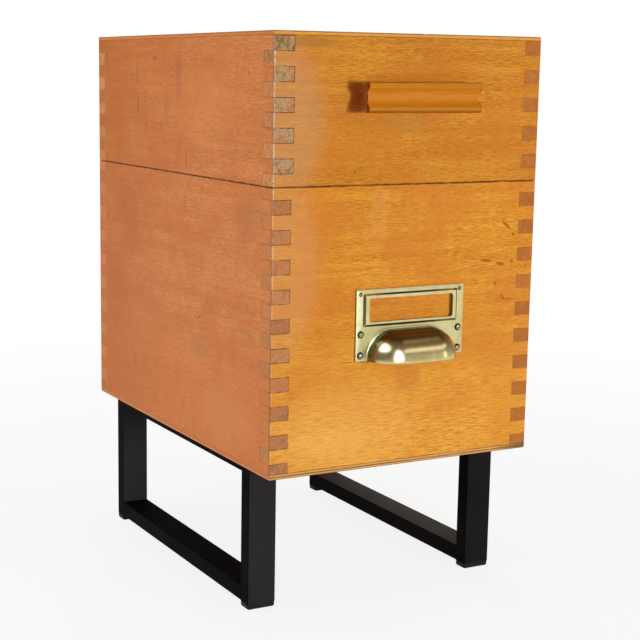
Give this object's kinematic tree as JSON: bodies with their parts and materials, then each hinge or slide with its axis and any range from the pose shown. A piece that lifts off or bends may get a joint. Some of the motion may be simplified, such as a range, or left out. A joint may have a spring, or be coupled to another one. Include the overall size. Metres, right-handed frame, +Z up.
{
  "type": "wooden box with hinged lid on steel legs",
  "caption": "Tall finger-jointed wooden box with a deep hinged lid, wooden lid handle, brass cup pull with card frame, and black steel loop legs.",
  "frame": {"origin": "on the floor, at the middle of the bounding box", "axes": "+Z up, -Y to the front with the handle and pull, +X to the box's right seen from the front"},
  "size_m": [0.259, 0.412, 0.4869],
  "materials": {
    "varnished_beech": "aged golden-orange varnish, satin",
    "varnished_plywood": "thin beech plywood, aged varnish",
    "handle_wood": "darker aged varnish, semi-gloss",
    "aged_brass": "aged brass, slightly dull",
    "polished_brass": "polished old brass",
    "hinge_brass": "plain brass",
    "zinc_steel": "bright zinc-plated steel",
    "black_steel": "satin black paint",
    "black_plastic": "matte black moulded plastic"
  },
  "bodies": {
    "box": {"box_front": "varnished_beech", "box_back": "varnished_beech", "box_left_side": "varnished_beech", "box_right_side": "varnished_beech", "box_bottom_panel": "varnished_plywood", "box_panel_pins": "zinc_steel", "card_frame_plate": "aged_brass", "cup_pull": "polished_brass", "pull_screws": "aged_brass", "pull_corner_pins": "aged_brass", "left_hinge_box_leaf": "hinge_brass", "right_hinge_box_leaf": "hinge_brass", "left_hinge_pin": "zinc_steel", "right_hinge_pin": "zinc_steel", "box_hinge_screws": "hinge_brass", "left_leg_front_post": "black_steel", "left_leg_rear_post": "black_steel", "left_leg_bottom_rail": "black_steel", "left_leg_top_bar": "black_steel", "left_leg_front_foot": "black_plastic", "left_leg_rear_foot": "black_plastic", "left_leg_screws": "zinc_steel", "right_leg_front_post": "black_steel", "right_leg_rear_post": "black_steel", "right_leg_bottom_rail": "black_steel", "right_leg_top_bar": "black_steel", "right_leg_front_foot": "black_plastic", "right_leg_rear_foot": "black_plastic", "right_leg_screws": "zinc_steel"},
    "lid": {"lid_top_panel": "varnished_plywood", "lid_front": "varnished_beech", "lid_back": "varnished_beech", "lid_left_side": "varnished_beech", "lid_right_side": "varnished_beech", "lid_handle": "handle_wood", "lid_handle_screws": "zinc_steel", "lid_panel_pins": "zinc_steel", "left_hinge_lid_leaf": "hinge_brass", "right_hinge_lid_leaf": "hinge_brass", "lid_hinge_screws": "hinge_brass"}
  },
  "joints": [
    {"name": "lid_hinge", "type": "hinge", "parent": "box", "child": "lid", "pos_m": [0, 0.20156, 0.36445], "axis": [-1, 0, 0], "range_deg": [0, 100]}
  ]
}
